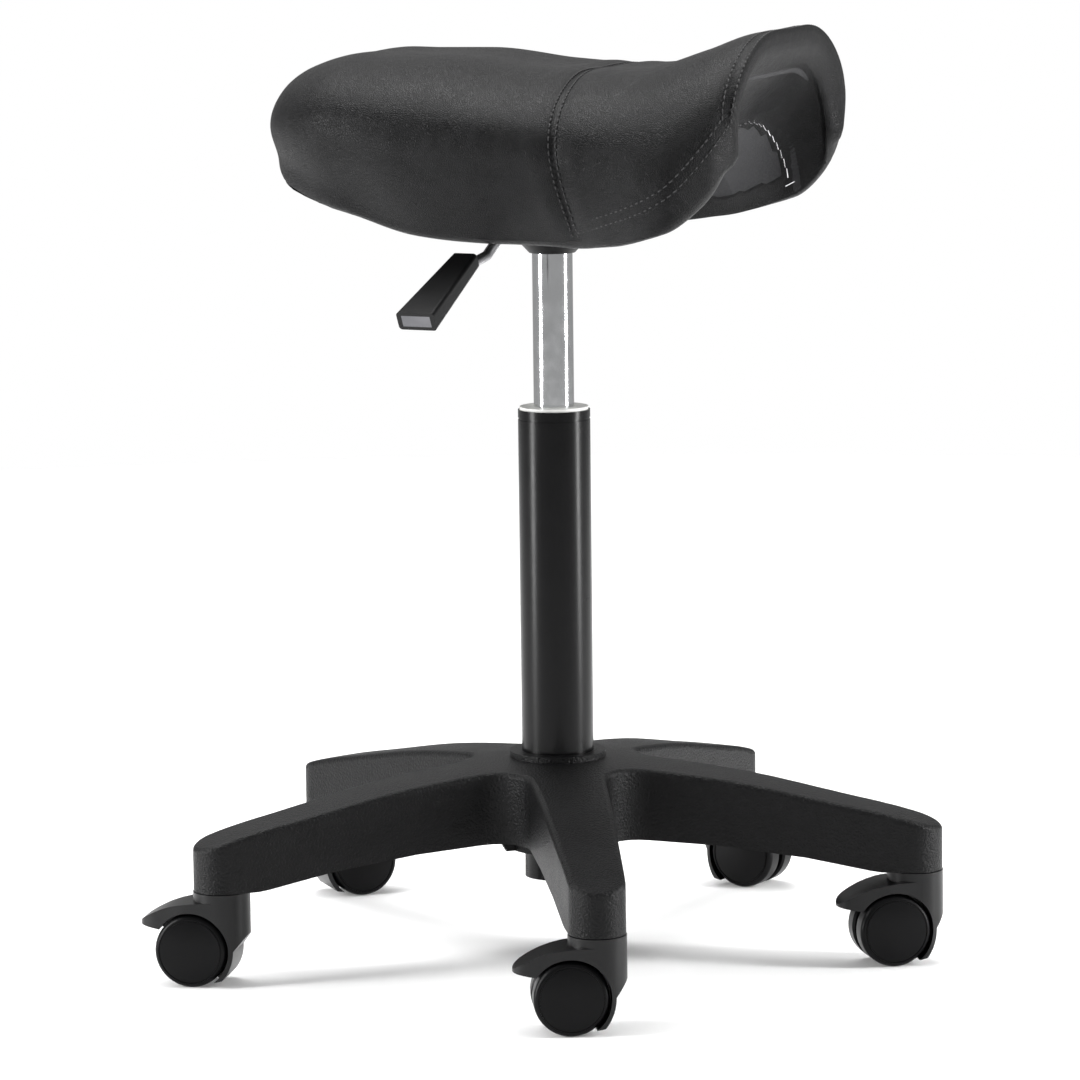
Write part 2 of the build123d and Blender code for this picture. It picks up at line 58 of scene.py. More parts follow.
# ---- sizes and colours that a user would change -------------------------------
class SaddleSettings(bpy.types.PropertyGroup):
    """Sizes and colours of the saddle's cover."""

    leather: FloatVectorProperty(name="Leather", description="Colour of the cover",
                                 subtype="COLOR", size=3, min=0, max=1,
                                 default=(0.0045, 0.0045, 0.0048))
    thread: FloatVectorProperty(name="Thread", description="Colour of the stitching",
                                subtype="COLOR", size=3, min=0, max=1,
                                default=(0.02, 0.02, 0.021))
    grain: FloatProperty(name="Grain", description="Width of one cell of the leather grain",
                         unit="LENGTH", min=0.0005, max=0.005, default=0.0014)
    wrap: FloatProperty(name="Wrap", description="Width of leather turned under the board",
                        unit="LENGTH", min=0.01, max=0.04, default=0.022)
    seam_x: FloatProperty(name="Seam place", description="Where the cross seam meets the crown",
                          unit="LENGTH", default=0.040)
    stitch: FloatProperty(name="Stitch", description="Length of one stitch with its gap",
                          unit="LENGTH", min=0.002, max=0.01, default=0.005)


class FinishSettings(bpy.types.PropertyGroup):
    """Colours of the moulded and painted pieces."""

    nylon: FloatVectorProperty(name="Nylon", description="Colour of the star base",
                               subtype="COLOR", size=3, min=0, max=1,
                               default=(0.0035, 0.0035, 0.0038))
    plastic: FloatVectorProperty(name="Plastic", description="Colour of hoods, wheels and grip",
                                 subtype="COLOR", size=3, min=0, max=1,
                                 default=(0.003, 0.003, 0.0033))
    paint: FloatVectorProperty(name="Paint", description="Colour of the column and bracket",
                               subtype="COLOR", size=3, min=0, max=1,
                               default=(0.002, 0.002, 0.0022))


class StageSettings(bpy.types.PropertyGroup):
    """Camera and light."""

    distance: FloatProperty(name="Distance", description="Camera to column, along the floor",
                            unit="LENGTH", default=3.6)
    height: FloatProperty(name="Height", description="Camera above the floor", unit="LENGTH",
                          default=0.8111)
    azimuth: FloatProperty(name="Azimuth", description="Camera's way round the stool",
                           subtype="ANGLE", default=math.radians(18.64))
    turn: FloatProperty(name="Turn", description="Camera turned off the column",
                        subtype="ANGLE", default=math.radians(0.171))
    pitch: FloatProperty(name="Pitch", description="Camera's downward tilt", subtype="ANGLE",
                         default=math.radians(8.261))
    roll: FloatProperty(name="Roll", description="Camera's roll", subtype="ANGLE",
                        default=math.radians(-0.68))
    lens: FloatProperty(name="Lens", description="Focal length on a 36 mm sensor, in mm",
                        default=174.8)


# ---- shader expressions ---------------------------------------------------------
class Wire:
    """A shader socket that arithmetic can be written on."""

    def __init__(self, finish, socket):
        self.finish = finish
        self.socket = socket

    def math(self, operation, *values):
        return self.finish.add("ShaderNodeMath", {"operation": operation},
                               dict(enumerate(values)))

    def __add__(self, other):
        return self.math("ADD", self, other)

    __radd__ = __add__

    def __mul__(self, other):
        return self.math("MULTIPLY", self, other)

    __rmul__ = __mul__

    def __sub__(self, other):
        return self.math("SUBTRACT", self, other)

    def __rsub__(self, other):
        return self.math("SUBTRACT", other, self)

    def step(self, low, high):
        """0 below low, 1 above high, smooth between."""
        return self.finish.add("ShaderNodeMapRange", {"interpolation_type": "SMOOTHSTEP"},
                               {"Value": self, "From Min": low, "From Max": high})


class Finish:
    """One material: constants go on its shader, patterns come from the object's coordinates."""

    def __init__(self, name, **constants):
        self.material = bpy.data.materials.new(name)
        self.material.use_nodes = True
        self.tree = self.material.node_tree
        self.shader = self.tree.nodes["Principled BSDF"]
        for socket, value in constants.items():
            self.shader.inputs[socket.replace("_", " ")].default_value = value
        self.coords = self.add("ShaderNodeTexCoord", {}, {}, "Object")

    def add(self, kind, settings, values, output=0):
        node = self.tree.nodes.new(kind)
        for key, value in settings.items():
            setattr(node, key, value)
        for key, value in values.items():
            if isinstance(value, Wire):
                self.tree.links.new(value.socket, node.inputs[key])
            else:
                node.inputs[key].default_value = value
        return Wire(self, node.outputs[output])

    def noise(self, size, detail=3.0, roughness=0.5):
        """Noise whose lumps are about size metres across."""
        return self.add("ShaderNodeTexNoise", {}, {"Vector": self.coords, "Scale": 1 / size,
                                                   "Detail": detail, "Roughness": roughness})

    def cells(self, size):
        """Cells about size metres across, with their creases at zero."""
        return self.add("ShaderNodeTexVoronoi", {"feature": "DISTANCE_TO_EDGE"},
                        {"Vector": self.coords, "Scale": 1 / size})

    def colours(self, factor, low, high):
        return self.add("ShaderNodeMix", {"data_type": "RGBA"},
                        {"Factor": factor, 6: (*low, 1), 7: (*high, 1)}, 2)

    def feed(self, socket, wire):
        self.tree.links.new(wire.socket, self.shader.inputs[socket])
        return self

    def relief(self, height, depth, strength=1.0):
        """Bump of the given depth in metres from a height between 0 and 1."""
        bump = self.add("ShaderNodeBump", {}, {"Height": height, "Distance": depth,
                                               "Strength": strength})
        return self.feed("Normal", bump)


def shade(colour, factor):
    """A colour made lighter or darker."""
    return tuple(min(1.0, c * factor) for c in colour)


def leather_finish(settings):
    finish = Finish("black_leather", Specular_IOR_Level=0.12)
    crease = finish.cells(settings.grain).step(0.0, 0.22)
    pores = finish.noise(settings.grain * 0.6, 2.0)
    folds = finish.noise(0.035, 3.0)
    wear = finish.noise(0.011, 4.0, 0.6)
    finish.feed("Base Color", finish.colours(wear.step(0.35, 0.7), settings.leather,
                                             shade(settings.leather, 1.7)))
    finish.feed("Roughness", wear.step(0.3, 0.75) * 0.1 - crease * 0.07 + 0.4)
    return finish.relief(crease * 0.7 + pores * 0.3 + folds * 2.5, 0.00035, 0.8).material


def thread_finish(settings):
    finish = Finish("waxed_thread", Roughness=0.55)
    finish.feed("Base Color", finish.colours(finish.noise(0.0008), shade(settings.thread, 0.6),
                                             settings.thread))
    return finish.relief(finish.noise(0.0004), 0.0001).material


def lining_finish():
    finish = Finish("felt_lining", Roughness=0.95)
    fibres = finish.noise(0.0012, 5.0, 0.75)
    finish.feed("Base Color", finish.colours(fibres.step(0.3, 0.7), (0.008, 0.008, 0.009),
                                             (0.022, 0.022, 0.024)))
    return finish.relief(fibres, 0.0004, 0.7).material


def moulded_finish(name, colour, grain, depth, roughness, gloss=0.2):
    """Moulded plastic with a spark-eroded grain."""
    finish = Finish(name, Specular_IOR_Level=gloss)
    fine = finish.noise(grain, 2.0, 0.6)
    patch = finish.noise(0.03, 3.0)
    finish.feed("Base Color", finish.colours(patch.step(0.3, 0.7), shade(colour, 0.85),
                                             shade(colour, 1.2)))
    finish.feed("Roughness", patch * 0.12 + (roughness - 0.06))
    return finish.relief(fine, depth, 0.8).material


def painted_finish(name, colour, roughness):
    """Powder coat with a faint orange peel."""
    finish = Finish(name, Specular_IOR_Level=0.16)
    peel = finish.noise(0.0018, 2.0)
    haze = finish.noise(0.02, 4.0, 0.6)
    finish.feed("Base Color", finish.colours(haze.step(0.3, 0.8), colour, shade(colour, 1.5)))
    finish.feed("Roughness", haze * 0.12 + (roughness - 0.06))
    return finish.relief(peel, 0.00004, 0.6).material


def metal_finish(name, colour, roughness, streak=0.0):
    """Bare or plated metal; streak adds turning marks round the upright axis."""
    finish = Finish(name, Metallic=1.0)
    smear = finish.noise(0.012, 4.0, 0.6)
    finish.feed("Base Color", finish.colours(smear, shade(colour, 0.92), colour))
    finish.feed("Roughness", smear.step(0.35, 0.8) * 0.06 + roughness)
    if streak:
        lathe = finish.add("ShaderNodeMapping", {},
                           {"Vector": finish.coords, "Scale": (1, 1, 40)})
        rings = finish.add("ShaderNodeTexNoise", {}, {"Vector": lathe, "Scale": 60.0})
        finish.relief(rings, streak, 0.3)
    return finish.material


def wood_finish():
    """Plywood stained black, with its grain showing through."""
    finish = Finish("stained_ply", Roughness=0.6, Specular_IOR_Level=0.2)
    grain = finish.add("ShaderNodeMapping", {},
                       {"Vector": finish.coords, "Scale": (4, 40, 40)})
    lines = finish.add("ShaderNodeTexNoise", {},
                       {"Vector": grain, "Scale": 9.0, "Detail": 5.0})
    finish.feed("Base Color", finish.colours(lines.step(0.3, 0.7), (0.004, 0.0036, 0.0033),
                                             (0.012, 0.01, 0.008)))
    return finish.relief(lines, 0.0002).material


def give(material, *names):
    """Puts a material on CAD nodes or pieces."""
    for name in names:
        obj = NODES.get(name) or bpy.data.objects[name]
        obj.data.materials.clear()
        obj.data.materials.append(material)


def mesh_piece(name, bm, material, body, smooth=True):
    """Turns a bmesh into a piece that rides on a body."""
    bmesh.ops.recalc_face_normals(bm, faces=bm.faces)
    data = bpy.data.meshes.new(name)
    bm.to_mesh(data)
    bm.free()
    data.polygons.foreach_set("use_smooth", [smooth] * len(data.polygons))
    data.materials.append(material)
    obj = bpy.data.objects.new(name, data)
    bpy.context.scene.collection.objects.link(obj)
    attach(obj, body)
    return obj


# ---- shape of the saddle -----------------------------------------------------------
# One row per section, in mm: place along X, crown height, widest point, lower edge,
# and the half width and height of the flat middle under the foam.
SECTIONS = (
    (-183.0, 590.0, (58.0, 573.0), (42.0, 560.0), (22.0, 562.0)),
    (-162.0, 613.0, (104.0, 586.0), (86.0, 553.0), (38.0, 558.0)),
    (-115.0, 626.0, (137.0, 590.0), (114.0, 535.0), (60.0, 554.0)),
    (-60.0, 626.0, (149.0, 586.0), (116.0, 514.0), (60.0, 553.0)),
    (0.0, 619.0, (151.0, 581.0), (108.0, 506.0), (60.0, 553.0)),
    (50.0, 616.0, (151.0, 573.0), (116.0, 506.0), (60.0, 553.0)),
    (85.0, 618.0, (157.0, 567.0), (138.0, 513.0), (60.0, 553.0)),
    (130.0, 631.0, (166.0, 558.0), (160.0, 521.0), (60.0, 602.0)),
    (158.0, 641.0, (153.0, 575.0), (148.0, 544.0), (54.0, 626.0)),
    (172.0, 643.0, (136.0, 587.0), (131.0, 569.0), (48.0, 633.0)),
)
PLACES = [s[0] for s in SECTIONS]
FRONT_X = PLACES[-1]
BOARD = 12.0        # thickness of the board

# The tail, in mm: behind TAIL_START the sections shrink to a point at TAIL_END, TAIL_Z high.
TAIL_START = -176.0
TAIL_END = -187.0
TAIL_Z = 568.0
TAIL_SHARE = 0.12   # share of the cover's rows that the shrinking takes
TAIL_HOLD = 4.0     # how far behind TAIL_START the sections are still followed
TAIL_RISE = 25.0    # length in which the underside reaches its full depth

# Smoothing draws the tail in, so it is first swollen about a point at TAIL_FULL.
TAIL_FULL = -100.0
TAIL_FADE = 60.0
TAIL_SWELL = Vector((0.012, 0.022, 0.04))
TAIL_SMOOTHED = (-110, -122, -134, -146, -158, -166)
TAIL_PASSES = 4

# The outside's shoulder, as shares of the half width and of the height above the widest point.
SHOULDER_OUT = 0.60
SHOULDER_UP = 0.885

# The underside across: a level middle, then an arc down each flap, as shares of w.
LEVEL_SHARE = 0.45
FLAP_SHARE = 0.55
STRAIGHT = 1e-3     # an arc that turns less than this is drawn as a line
LINE_RADIUS = 1e4

# The cover's grid, and its underside: inside the board, or under it where the leather turns in.
ROWS, COLUMNS = 150, 120
HIDDEN = BOARD - 2.5
TURNED = BOARD + 2.3
TAIL_DEPTH, ADDED_DEPTH = 0.06, 0.94    # share of the depth at TAIL_END, and what is added

# The rounded rim between outside and underside.
RIM_STEPS = 5
RIM_EDGE = 0.99     # u or w beyond this is on the rim
FRONT_BULGE = 3.4
SIDE_BULGE = 3.2
FRONT_BACK = 9.0    # how far the underside's front edge lies behind the outside's
FRONT_FADE = 20.0
FRONT_EASE = 1.5
WRAP_SIDE, WRAP_MIDDLE = 46, 22         # leather turned in under the front, and more mid-way

# Cross seam: how far forward it runs on the flaps, and the groove and swell beside it.
SEAM_SWEEP, SEAM_CURVE = 18, 1.2
SEAM_DIP, SEAM_WIDTH = 1.7, 2.6
SWELL_HIGH, SWELL_OFF, SWELL_WIDTH = 0.9, 13, 7

# Rim stitching: RIM_IN behind the front edge, then back along each flap.
RIM_IN = 4.0
RIM_DIP = 1.1
RIM_FRONT, RIM_FLAP = 0.62, 0.38        # shares of the route over the front and on a flap
RIM_W, RIM_FLARE = 0.84, 0.12           # w at the front corner, and what a flap adds
RIM_LENGTH, RIM_EASE = 108, 1.15
NO_RIM = 99.0       # distance from the rim where there is none
DIP_FADE = 0.1      # share of w over which every groove fades at the lower edge

# Stitches: shares of the route that are sewn, half sizes in m, and how deep they sink in mm.
SEAM_SEWN = 0.98
SEAM_ROWS, RIM_ROWS = (-2.4, 2.4), (-3.3, 3.3)
ROUTE_SAMPLES = 600
STITCH_FILL = 0.40
STITCH_WIDE, STITCH_HIGH = 0.0006, 0.0007
STITCH_SUNK = 0.25

# Staples: depth and distance from the leather's edge in mm, their spacing, and size in m.
STAPLE_DEPTH = BOARD + 2.5
STAPLE_EDGE = 4
STAPLES_ACROSS = 24
STAPLE_ROWS, STAPLE_FIRST, STAPLE_LAST = 60, 8, 44
STAPLE_W = 0.93
STAPLE_TURN = 0.92  # w beyond which a staple lies along the flap's edge
STAPLE_SIZE = (0.0075, 0.0007, 0.0006, 1)
STAPLE_BEVEL = 0.0001


def slope_at(values, i):
    """Slope of a quantity at a section, level at every peak."""
    steps = [(values[k + 1] - values[k]) / (PLACES[k + 1] - PLACES[k])
             for k in range(len(PLACES) - 1)]
    if i in (0, len(steps)):
        return steps[min(i, len(steps) - 1)]
    before, after = steps[i - 1], steps[i]
    return 0.0 if before * after <= 0 else 2 * before * after / (before + after)


def follow(values, x):
    """Smooth value at x of a quantity given at every section."""
    k = max([i for i in range(len(PLACES) - 1) if PLACES[i] <= x], default=0)
    span = PLACES[k + 1] - PLACES[k]
    t = (x - PLACES[k]) / span
    rise = (values[k + 1] - values[k]) * (3 - 2 * t) * t * t
    lead_in = slope_at(values, k) * t * (1 - t) ** 2
    return values[k] + rise + span * (lead_in - slope_at(values, k + 1) * t * t * (1 - t))


@functools.lru_cache(maxsize=None)
def section(u):
    """The section a share u of the way from tail to front: x, crown, side, edge, flat."""
    if u >= TAIL_SHARE:
        x = TAIL_START + (FRONT_X - TAIL_START) * (u - TAIL_SHARE) / (1 - TAIL_SHARE)
        shrink = 1.0
    else:
        angle = (1 - u / TAIL_SHARE) * math.pi / 2
        x = TAIL_START + (TAIL_END - TAIL_START) * math.sin(angle)
        shrink = max(math.cos(angle), 0.0)
    base = max(x, TAIL_START - TAIL_HOLD)
    points = [(0.0, follow([s[1] for s in SECTIONS], base))]
    points += [tuple(follow([s[i][k] for s in SECTIONS], base) for k in (0, 1))
               for i in (2, 3, 4)]
    crown, side, edge, flat = [(y * shrink, TAIL_Z + (z - TAIL_Z) * shrink) for y, z in points]
    return x, crown[1], side, edge, flat


@functools.lru_cache(maxsize=None)
def profile(u):
    """Knots of the section's outside, from the crown to the lower edge, and their curvatures."""
    _, crown, side, edge, _ = section(u)
    shoulder = (side[0] * SHOULDER_OUT, side[1] + (crown - side[1]) * SHOULDER_UP)
    half = [shoulder, side, edge]
    points = np.array([(-y, z) for y, z in reversed(half)] + [(0.0, crown)] + half)
    gaps = np.maximum(np.linalg.norm(np.diff(points, axis=0), axis=1), 1e-6)
    places = np.concatenate([[0.0], np.cumsum(gaps)])
    count = len(points)
    system, turns = np.eye(count), np.zeros((count, 2))
    for i in range(1, count - 1):
        system[i, i - 1:i + 2] = gaps[i - 1], 2 * (gaps[i - 1] + gaps[i]), gaps[i]
        turns[i] = 6 * ((points[i + 1] - points[i]) / gaps[i]
                        - (points[i] - points[i - 1]) / gaps[i - 1])
    return points, places, np.linalg.solve(system, turns)


def outside(u, w):
    """Point on the padded outside; w runs from -1 at the right lower edge to 1 at the left."""
    points, places, curve = profile(u)
    place = places[-1] * (1 + w) / 2
    k = min(max(int(np.searchsorted(places, place)) - 1, 0), len(places) - 2)
    gap = places[k + 1] - places[k]
    a, b = (places[k + 1] - place) / gap, (place - places[k]) / gap
    y, z = (a * points[k] + b * points[k + 1]
            + ((a ** 3 - a) * curve[k] + (b ** 3 - b) * curve[k + 1]) * gap * gap / 6)
    return Vector((section(u)[0], y, z))


def lip_bend(edge, flat):
    """How far the flap's arc has turned from level where it meets the lower edge."""
    return 2 * math.atan2(flat[1] - edge[1], max(edge[0] - flat[0], 1e-3))


def chord_length(edge, flat):
    """Straight distance from the flat middle's end to the lower edge."""
    return math.hypot(edge[0] - flat[0], edge[1] - flat[1])


def inside(u, w, down):
    """Point on the underside at a depth below the foam, with w as on the outside."""
    x, _, _, edge, flat = section(u)
    bend = lip_bend(edge, flat)
    chord = chord_length(edge, flat)
    radius = chord / (2 * math.sin(bend / 2)) if abs(bend) > STRAIGHT else LINE_RADIUS
    radius = max(radius, down + 1)
    share = min(1.0, abs(w) / LEVEL_SHARE)
    angle = bend * max(0.0, (abs(w) - LEVEL_SHARE) / FLAP_SHARE)
    y = flat[0] * share + (radius - down) * math.sin(angle)
    z = flat[1] - radius + (radius - down) * math.cos(angle)
    return Vector((x, math.copysign(y, w), z))


def outside_normal(u, w):
    """Outward direction of the padded surface."""
    step = 0.004
    along = outside(min(u + step, 1), w) - outside(max(u - step, 0), w)
    across = outside(u, min(w + step, 1)) - outside(u, max(w - step, -1))
    normal = along.cross(across)
    return normal.normalized() if normal.length > 1e-6 else Vector((-1, 0, 0))


def share_at(x):
    """The share u whose section is at x, for x ahead of the tail."""
    return TAIL_SHARE + (1 - TAIL_SHARE) * (x - TAIL_START) / (FRONT_X - TAIL_START)


def seam_share(w, settings):
    """Cross seam: furthest back at the crown, a little forward on the flaps."""
    return share_at(settings.seam_x / MM + SEAM_SWEEP * abs(w) ** SEAM_CURVE)


def front_wrap(w):
    """Width of leather turned in under the front: wider towards the middle."""
    return WRAP_SIDE + WRAP_MIDDLE * (1 - abs(w))


def rim_route(t):
    """(u, w) of the rim stitching: t from -1 on the right flap, over the front, to 1."""
    if abs(t) < RIM_FRONT:
        side = abs(t) / RIM_FRONT
        return share_at(FRONT_X - RIM_IN), math.copysign(RIM_W * side, t)
    back = (abs(t) - RIM_FRONT) / RIM_FLAP
    x = FRONT_X - RIM_IN - RIM_LENGTH * back ** RIM_EASE
    return share_at(x), math.copysign(RIM_W + RIM_FLARE * math.sin(back * math.pi / 2), t)


def pull(u, w, settings):
    """How far the stitching pulls the leather in, in mm."""
    x = section(u)[0]
    seam_x = section(seam_share(w, settings))[0]
    off_seam = abs(x - seam_x)
    groove = SEAM_DIP * math.exp(-(off_seam / SEAM_WIDTH) ** 2)
    dip = groove - SWELL_HIGH * math.exp(-((off_seam - SWELL_OFF) / SWELL_WIDTH) ** 2)
    off_rim = abs(x - (FRONT_X - RIM_IN)) if abs(w) < RIM_W else NO_RIM
    dip += RIM_DIP * math.exp(-(off_rim / SEAM_WIDTH) ** 2)
    return dip * min(1.0, (1 - abs(w)) / DIP_FADE)


def under_point(u, w, wrap):
    """Point on the cover's underside, where wrap is the width of leather turned in."""
    x, _, _, edge, flat = section(u)
    bend = abs(lip_bend(edge, flat))
    arc = chord_length(edge, flat)
    if bend > STRAIGHT:
        arc = arc / max(2 * math.sin(bend / 2), STRAIGHT) * bend
    from_lip = arc * (1 - abs(w)) / FLAP_SHARE
    wrapped = min(from_lip, x - TAIL_END) < wrap or FRONT_X - x < front_wrap(w)
    rise = min(1.0, max(0.0, (x - TAIL_END) / TAIL_RISE))
    deep = TAIL_DEPTH + ADDED_DEPTH * rise * rise * (3 - 2 * rise)
    point = inside(u, w, (TURNED if wrapped else HIDDEN) * deep)
    point.x -= FRONT_BACK * max(0.0, 1 - (FRONT_X - x) / FRONT_FADE) ** FRONT_EASE
    return point


def rim_bulge(u, w):
    """Which way, and how far at most, the rim is rounded out."""
    bulge = Vector((FRONT_BULGE if u > RIM_EDGE else 0, 0, 0))
    if abs(w) > RIM_EDGE:
        bend = lip_bend(*section(u)[3:])
        bulge += Vector((0, math.copysign(SIDE_BULGE * math.cos(bend), w),
                         -SIDE_BULGE * math.sin(bend)))
    return bulge


def cover_mesh(settings):
    """Cover: padded top, rounded rim, and leather turned under the board."""
    bm = bmesh.new()
    u_of = bm.verts.layers.float.new("u")
    w_of = bm.verts.layers.float.new("w")
    grid = bmesh.ops.create_grid(bm, x_segments=ROWS, y_segments=COLUMNS, size=0.5)
    for v in bm.verts:
        v[u_of] = v.co.x + 0.5
        v[w_of] = 2 * v.co.y
    under = bmesh.ops.duplicate(bm, geom=list(bm.verts) + list(bm.edges) + list(bm.faces))
    under_verts = [g for g in under["geom"] if isinstance(g, bmesh.types.BMVert)]
    wrap = settings.wrap / MM
    for v in grid["verts"]:
        u, w = v[u_of], v[w_of]
        v.co = outside(u, w) - outside_normal(u, w) * pull(u, w, settings)
    for v in under_verts:
        v.co = under_point(v[u_of], v[w_of], wrap)
    rim = {e for v in grid["verts"] for e in v.link_edges if e.is_boundary}
    for k in range(1, RIM_STEPS + 1):
        ring = bmesh.ops.extrude_edge_only(bm, edges=list(rim))["geom"]
        rim = {g for g in ring if isinstance(g, bmesh.types.BMEdge)}
        for v in {v for e in rim for v in e.verts}:
            u, w = v[u_of], v[w_of]
            round_out = rim_bulge(u, w) * math.sin(math.pi * k / RIM_STEPS)
            v.co = outside(u, w).lerp(under_point(u, w, wrap), k / RIM_STEPS) + round_out
    for v in bm.verts:
        behind = min(1.0, max(0.0, (TAIL_FULL - v.co.x) / TAIL_FADE))
        v.co += (v.co - Vector((TAIL_FULL, 0, TAIL_Z))) * TAIL_SWELL * behind
    for start in TAIL_SMOOTHED:
        tail = [v for v in bm.verts if v.co.x < start]
        for _ in range(TAIL_PASSES):
            bmesh.ops.smooth_vert(bm, verts=tail, factor=0.5, use_axis_x=True, use_axis_y=True,
                                  use_axis_z=True)
    for v in bm.verts:
        v.co *= MM
    bmesh.ops.remove_doubles(bm, verts=bm.verts, dist=0.04 * MM)
    bmesh.ops.dissolve_degenerate(bm, dist=0.02 * MM, edges=bm.edges)
    return bm


# ---- pieces ---------------------------------------------------------------------------
class STOOL_OT_cover(bpy.types.Operator):
    """Make the padded leather cover of the saddle"""

    bl_idname = "stool.cover"
    bl_label = "Saddle cover"

    def execute(self, context):
        settings = context.scene.stool_saddle
        cover = mesh_piece("saddle_cover", cover_mesh(settings), leather_finish(settings),
                           "saddle")
        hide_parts("seat_cushion")
        give(lining_finish(), "seat_lining")
        give(wood_finish(), "seat_board")
        return {"FINISHED"}


def stitch_row(bm, route, reach, pitch, offset):
    """Sews thread along a route of (u, w), from -reach to reach of its parameter."""
    points = []
    for i in range(ROUTE_SAMPLES + 1):
        u, w = route(-reach + 2 * reach * i / ROUTE_SAMPLES)
        ahead_u, ahead_w = route(-reach + 2 * reach * (i + 1) / ROUTE_SAMPLES)
        normal = outside_normal(u, w)
        here = outside(u, w)
        along = (outside(min(ahead_u, 1), ahead_w) - here).normalized()
        points.append((here + normal.cross(along) * offset, along, normal))
    walked, next_stitch = 0.0, 0.0
    for (here, along, normal), (after, _, _) in zip(points, points[1:]):
        if walked >= next_stitch and along.length > 0.5:
            side = normal.cross(along)
            turn = Matrix((along, side, normal)).transposed().to_4x4()
            place = Matrix.Translation((here - normal * STITCH_SUNK) * MM) @ turn
            size = Matrix.Diagonal((pitch * STITCH_FILL, STITCH_WIDE, STITCH_HIGH, 1))
            bmesh.ops.create_icosphere(bm, subdivisions=1, radius=1, matrix=place @ size)
            next_stitch += pitch / MM
        walked += (after - here).length


class STOOL_OT_stitching(bpy.types.Operator):
    """Sew the double rows of the cross seam and of the rim"""

    bl_idname = "stool.stitching"
    bl_label = "Stitching"

    def execute(self, context):
        settings = context.scene.stool_saddle
        bm = bmesh.new()
        for offset in SEAM_ROWS:
            stitch_row(bm, lambda t: (seam_share(t, settings), t), SEAM_SEWN, settings.stitch,
                       offset)
        for offset in RIM_ROWS:
            stitch_row(bm, rim_route, 1.0, settings.stitch, offset)
        mesh_piece("saddle_stitching", bm, thread_finish(settings), "saddle")
        return {"FINISHED"}


class STOOL_OT_staples(bpy.types.Operator):
    """Drive the staples that hold the turned leather under the board"""

    bl_idname = "stool.staples"
    bl_label = "Staples"

    def execute(self, context):
        bm = bmesh.new()
        across = [w / STAPLES_ACROSS for w in range(1 - STAPLES_ACROSS, STAPLES_ACROSS)]
        line = [(share_at(FRONT_X - front_wrap(w) + STAPLE_EDGE), w) for w in across]
        for side in (-1, 1):
            line += [(row / STAPLE_ROWS, side * STAPLE_W)
                     for row in range(STAPLE_FIRST, STAPLE_LAST)]
        for u, w in line:
            step_u, step_w = (0, 0.01) if abs(w) < STAPLE_TURN else (0.01, 0)
            here = inside(u, w, STAPLE_DEPTH)
            along = (inside(u + step_u, w + step_w, STAPLE_DEPTH) - here).normalized()
            inward = (inside(u, w, STAPLE_DEPTH + 2) - here).normalized()
            turn = Matrix((along, inward.cross(along), inward)).transposed().to_4x4()
            place = Matrix.Translation(here * MM) @ turn @ Matrix.Diagonal(STAPLE_SIZE)
            bmesh.ops.create_cube(bm, size=1, matrix=place)
        bmesh.ops.bevel(bm, geom=list(bm.edges), offset=STAPLE_BEVEL, affect="EDGES", segments=1,
                        profile=0.5, material=-1)
        mesh_piece("cover_staples", bm, metal_finish("staple_wire", (0.75, 0.75, 0.77), 0.22),
                   "saddle", smooth=False)
        return {"FINISHED"}


class STOOL_OT_lift(bpy.types.Operator):
    """Finish the column, the gas lift and the bracket"""

    bl_idname = "stool.lift"
    bl_label = "Column and lift"

    def execute(self, context):
        finish = context.scene.stool_finish
        give(painted_finish("column_paint", finish.paint, 0.25), "outer_column")
        give(painted_finish("bracket_paint", finish.paint, 0.45),
             "saddle_bracket", "cylinder_socket", "socket_collar")
        give(metal_finish("chrome_plate", (0.72, 0.73, 0.74), 0.1), "gas_cylinder")
        give(metal_finish("turned_steel", (0.56, 0.57, 0.59), 0.24, streak=0.00002),
             "piston_rod", "rod_clip", "rod_washer", "thrust_race_lower", "thrust_race_upper",
             "thrust_balls", "piston_nut", "pressure_tube", "end_cap", "valve_pin", "tee_nuts",
             "bracket_washers", "bracket_bolts", "caster_sleeves",
             *[n for n in NODES if n.endswith(("_stem", "_axle"))])
        give(metal_finish("turned_brass", (0.62, 0.46, 0.22), 0.25, streak=0.00002),
             "piston_head", "valve_block")
        give(moulded_finish("bush_plastic", (0.62, 0.62, 0.6), grain=0.0006, depth=0.00003,
                            roughness=0.45), "column_bush")
        give(moulded_finish("black_rubber", (0.02, 0.02, 0.02), grain=0.0005, depth=0.00004,
                            roughness=0.75), "bump_rubber", "piston_seal", "rod_seal")
        give(moulded_finish("guide_plastic", (0.03, 0.03, 0.03), grain=0.0006, depth=0.00003,
                            roughness=0.5), "rod_guide")
        return {"FINISHED"}


class STOOL_OT_base(bpy.types.Operator):
    """Finish the star base and its casters"""

    bl_idname = "stool.base"
    bl_label = "Base and casters"

    def execute(self, context):
        finish = context.scene.stool_finish
        give(moulded_finish("grained_nylon", finish.nylon, grain=0.0016, depth=0.0012,
                            roughness=0.4, gloss=0.17), "base_star")
        give(moulded_finish("hood_plastic", finish.plastic, grain=0.0005, depth=0.00003,
                            roughness=0.34, gloss=0.26),
             *[n for n in NODES if n.endswith("_hood")])
        give(moulded_finish("wheel_plastic", shade(finish.plastic, 1.1), grain=0.0006,
                            depth=0.00003, roughness=0.3, gloss=0.1),
             *[n for n in NODES if "_wheel_" in n])
        return {"FINISHED"}


